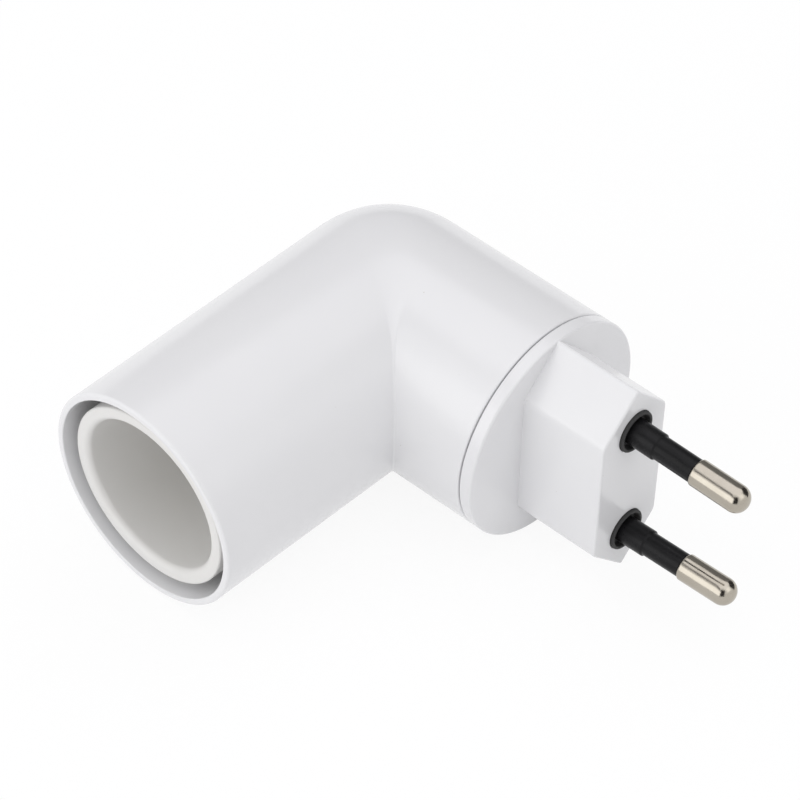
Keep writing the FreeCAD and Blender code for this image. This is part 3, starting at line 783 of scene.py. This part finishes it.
# Rolled shell: radius plus ridge cos(2 pi (h / pitch - a / 2 pi)), a round knuckle thread of one start,
# whose height fades to nothing at both ends of the wall. The outside is the same wave, one thickness out.
def makeScrewShell():
    s = shellShape
    angle = (np.arange(s["columns"]) * fullTurn / s["columns"])[None]
    h = np.linspace(s["bodyTop"], s["taperTop"], s["rows"])[:, None]
    fromEnd = np.minimum(h - s["bodyTop"], s["taperTop"] - h) / s["threadFade"]
    wave = s["ridge"] * easeUp(fromEnd) * np.cos(fullTurn * h / s["pitch"] - angle)
    inside = onBarrel(s["radius"] + wave, h, angle)
    outside = onBarrel(s["radius"] + s["metal"] + wave, h, angle)
    outer = s["radius"] + s["metal"]
    neckOuter = s["neckRadius"] + s["metal"]
    foot = cornerPath([
        (outer, s["taperTop"], 0),
        (neckOuter, s["neckTop"], s["neckRound"]),
        (neckOuter, s["bottom"], s["bottomRound"]),
        (s["holeRadius"], s["bottom"], 0),
        (s["holeRadius"], s["bottom"] - s["metal"], 0),
        (s["neckRadius"], s["bottom"] - s["metal"], s["bottomInnerRound"]),
        (s["neckRadius"], s["neckTop"], s["neckRound"]),
        (s["radius"], s["taperTop"], 0),
    ], closed=False)
    lip = cornerPath([
        (s["radius"], s["bodyTop"], 0),
        (s["radius"] + s["flare"], s["top"], s["lipRound"]),
        (outer + s["flare"], s["top"] + s["lipHeight"], s["lipRound"]),
        (outer, s["bodyTop"], 0),
    ], closed=False)
    lipRows, footRows = (onBarrel(p[:, :1], p[:, 1:], angle) for p in (lip, foot))
    grid = np.concatenate([lipRows, outside[1:-1], footRows, inside[1:-1][::-1]])
    sheets = [(grid, True, True)]
    finishPiece("screwShell", sheets, "holder", ["screw_shell"], nickelShell)


makeScrewShell()

contactShape = {
    "cupTop": 33.65,
    "cupRadius": 2.5,
    "cupRound": 0.3,
    "cupBore": 2.05,
    "cupFloor": 40.8,
    "cupRear": 41.25,
    "tailRadius": 0.9,
    "tailEnd": 44.05,
    "holeRadius": 1.38,
    "holeRound": 0.1,
    "lip": 34.25,
    "plungerRadius": 1.3,
    "plungerTop": 31.25,
    "crown": 0.7,
    "flangeTop": 34.27,
    "flangeRadius": 1.97,
    "flangeEnd": 34.95,
    "nubRadius": 0.9,
    "nubEnd": 35.65,
    "columns": 72,
}


def makeContact():
    s = contactShape
    cup = turned([
        (s["holeRadius"], s["cupTop"], s["holeRound"]),
        (s["cupRadius"], s["cupTop"], s["cupRound"]),
        (s["cupRadius"], s["cupRear"], s["cupRound"]),
        (s["tailRadius"], s["cupRear"], 0),
        (s["tailRadius"], s["tailEnd"], 0),
        (0, s["tailEnd"], 0),
        (0, s["cupFloor"], 0),
        (s["cupBore"], s["cupFloor"], 0),
        (s["cupBore"], s["lip"], 0),
        (s["holeRadius"], s["lip"], 0),
    ], onBarrel, s["columns"])
    finishPiece("contactCup", [cup], "holder", ["contact_cup"], stampedBrass)
    plunger = turned([
        (0, s["plungerTop"], 0),
        (s["plungerRadius"], s["plungerTop"], s["crown"]),
        (s["plungerRadius"], s["flangeTop"], 0),
        (s["flangeRadius"], s["flangeTop"], 0),
        (s["flangeRadius"], s["flangeEnd"], 0),
        (s["nubRadius"], s["flangeEnd"], 0),
        (s["nubRadius"], s["nubEnd"], 0),
        (0, s["nubEnd"], 0),
    ], onBarrel, s["columns"], closed=False)
    finishPiece("contactPlunger", [plunger], "plunger", ["contact_plunger"], stampedBrass)


makeContact()

# small parts inside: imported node, its slot and its material
insideParts = {
    "socket_base": ("base_moulding", creamUrea),
    "shell_strip": ("contact_metal", stampedBrass),
    "shell_rivet": ("contact_metal", stampedBrass),
    "live_wire": ("brown_wire", brownPvc),
    "neutral_wire": ("blue_wire", bluePvc),
    "live_ferrule": ("contact_metal", stampedBrass),
    "neutral_ferrule": ("contact_metal", stampedBrass),
    "upper_base_screw": ("screw_steel", zincSteel),
    "lower_base_screw": ("screw_steel", zincSteel),
    "left_carrier_screw": ("screw_steel", zincSteel),
    "right_carrier_screw": ("screw_steel", zincSteel),
}
for node, (slot, material) in insideParts.items():
    first, *rest = node.split("_")
    skinOf(node, first + "".join(word.title() for word in rest), "holder", material)


# The spring runs from the cup's floor to the plunger's flange. It is the imported piece's own form, merged
# into one skin and shaded smooth, with a mesh of its own.
def makeContactSpring():
    spring = skinOf("contact_spring", "contactSpring", "holder", springWire)
    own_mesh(spring)


makeContactSpring()


# Studio

studio = {
    "floorColour": "#F4F4F5",
    "floorRoughness": 0.9,
    "floorSize": 6.0,
    "floorPoints": 9,  # along each side
    "ambient": 0.66,
    "floorLit": 0.84,  # what the lit floor gives back where nothing shades it
    "shadowShare": 0.12,  # how much of the floor that the camera sees is lit, and so holds the shadow
}


def makeFloor():
    count = studio["floorPoints"]
    u = np.linspace(-1, 1, count) * studio["floorSize"] / mm / 2
    x, y = np.meshgrid(u, u)
    z = np.full_like(x, housingLow[2])
    mesh = bpy.data.meshes.new("studioFloor")
    index = np.arange(count * count).reshape(count, count)
    quads = np.stack([index[:-1, :-1], index[:-1, 1:], index[1:, 1:], index[1:, :-1]], -1).reshape(-1, 4)
    mesh.from_pydata((np.stack([x, y, z], -1).reshape(-1, 3) * mm).tolist(), [], quads.tolist())
    floor = bpy.data.objects.new("studioFloor", mesh)
    bpy.context.scene.collection.objects.link(floor)
    material, tree, shader = newMaterial("MattPaperFloor", studio["floorColour"], studio["floorRoughness"])
    path = addNode(tree, "LightPath", {})
    seen = addNode(
        tree, "Math", {"operation": "MAXIMUM"},
        {0: path.outputs["Is Camera Ray"], 1: path.outputs["Is Glossy Ray"]},
    )
    seen = addNode(
        tree, "Math", {"operation": "MAXIMUM"},
        {0: seen.outputs["Value"], 1: path.outputs["Is Transmission Ray"]},
    )
    share = addNode(
        tree, "Math", {"operation": "MULTIPLY", 1: 1 - studio["shadowShare"]}, {0: seen.outputs["Value"]})
    # strength that brings the bare floor to 1, white
    strength = (1 - studio["shadowShare"] * studio["floorLit"]) / (1 - studio["shadowShare"])
    white = addNode(tree, "Emission", {"Color": (1, 1, 1, 1), "Strength": strength})
    mixed = addNode(
        tree, "MixShader", {},
        {0: share.outputs["Value"], 1: shader.outputs["BSDF"], 2: white.outputs["Emission"]},
    )
    tree.links.new(mixed.outputs["Shader"], tree.nodes["Material Output"].inputs["Surface"])
    mesh.materials.append(material)


def makeWorld():
    world = bpy.data.worlds.new("softStudio")
    bpy.context.scene.world = world
    world.use_nodes = True
    tree = world.node_tree
    path = addNode(tree, "LightPath", {})
    strength = path.outputs["Is Camera Ray"]
    for seen in (path.outputs["Is Glossy Ray"], path.outputs["Is Transmission Ray"]):
        strength = addNode(tree, "Math", {"operation": "MAXIMUM"}, {0: strength, 1: seen}).outputs["Value"]
    strength = addNode(tree, "Math", {"operation": "MAXIMUM", 1: studio["ambient"]}, {0: strength})
    tree.links.new(strength.outputs["Value"], tree.nodes["Background"].inputs["Strength"])
    tree.nodes["Background"].inputs["Color"].default_value = (1, 1, 1, 1)


# Soft lamps: place and size in metres, power in watts, and colour. All aim at the arm, close to the mitre.
lamps = {
    "overheadSoftbox": ((-0.05, 0.05, 0.62), (0.8, 0.8), 1.05, "#FAF8FF"),
    "leftSoftbox": ((-0.2, -0.66, 0.24), (0.85, 0.5), 1.4, "#FFFFFF"),
    "rightWindow": ((0.72, 0.1, 0.68), (0.5, 0.5), 0.4, "#FFFFFF"),
}
lampAim = (-0.03, -0.01, 0)


def addLamp(name, place, size, power, colour):
    lamp = bpy.data.lights.new(name, "AREA")
    lamp.shape = "RECTANGLE"
    lamp.size, lamp.size_y = size
    lamp.energy = power
    lamp.color = toLinear(colour)[:3]
    holder = bpy.data.objects.new(name, lamp)
    holder.location = place
    holder.rotation_euler = (Vector(lampAim) - Vector(place)).to_track_quat("-Z", "Y").to_euler()
    bpy.context.scene.collection.objects.link(holder)


# Cards stand where a photographer's room has something else to mirror than white: azimuth and elevation
# from the object, with +X at azimuth 0, then width and height, all in degrees, and a brightness where white
# is 1. Only reflections see them, so they draw the streaks in the pins and the edge in the gloss, and take
# no light away.
cards = {
    "cameraSideCard": (-57, 26, 36, 52, 0.04),
    "unlitCornerCard": (68, 23, 50, 48, 0.05),
    "dimWallCard": (122, 24, 70, 54, 0.26),
    "rightWindowCard": (8, 42, 50, 40, 1.25),
    "lampGapCard": (-139, 53, 64, 9, 0.05),
}
cardDistance = 1.1
cardPoints = 5  # along each side


def addCard(name, azimuth, elevation, width, height, brightness):
    turn = Matrix.Rotation(np.radians(azimuth), 3, "Z") @ Matrix.Rotation(-np.radians(elevation), 3, "Y")
    half = np.tan(np.radians((width, height)) / 2) * cardDistance
    u, v = np.meshgrid(*(np.linspace(-reach, reach, cardPoints) for reach in half))
    points = np.stack([np.full_like(u, cardDistance), u, v], -1).reshape(-1, 3) @ np.array(turn).T
    first = (np.arange(cardPoints - 1)[:, None] * cardPoints + np.arange(cardPoints - 1)).reshape(-1, 1)
    quads = first + np.array((0, 1, cardPoints + 1, cardPoints))
    mesh = bpy.data.meshes.new(name)
    mesh.from_pydata(points.tolist(), [], quads.tolist())
    card = bpy.data.objects.new(name, mesh)
    bpy.context.scene.collection.objects.link(card)
    card.visible_camera = card.visible_diffuse = card.visible_shadow = card.visible_transmission = False
    material = bpy.data.materials.new(name)
    material.use_nodes = True
    tree = material.node_tree
    glow = addNode(tree, "Emission", {"Color": (1, 1, 1, 1), "Strength": brightness})
    tree.links.new(glow.outputs["Emission"], tree.nodes["Material Output"].inputs["Surface"])
    mesh.materials.append(material)


# The photo's own view: place in metres, the way back from the object, the way up, and the lens.
view = {
    "place": (0.1532, -0.2145, 0.2729),
    "back": (0.4791, -0.5260, 0.7027),
    "up": (-0.4874, 0.5064, 0.7114),
    "focalLength": 126.2,
    "sensorWidth": 36,
    "clip": (0.01, 20),
}


def makeCamera():
    place = Vector(view["place"])
    back = Vector(view["back"]).normalized()
    right = Vector(view["up"]).cross(back).normalized()
    up = back.cross(right)
    lens = bpy.data.cameras.new("photoView")
    lens.lens, lens.sensor_width = view["focalLength"], view["sensorWidth"]
    lens.clip_start, lens.clip_end = view["clip"]
    camera = bpy.data.objects.new("photoView", lens)
    turn = Matrix((right, up, back)).transposed().to_4x4()
    camera.matrix_world = Matrix.Translation(place) @ turn
    bpy.context.scene.collection.objects.link(camera)
    bpy.context.scene.camera = camera


makeFloor()
makeWorld()
for name, lamp in lamps.items():
    addLamp(name, *lamp)
for name, card in cards.items():
    addCard(name, *card)
makeCamera()
bpy.context.scene.view_settings.view_transform = "Standard"
print("studio made")
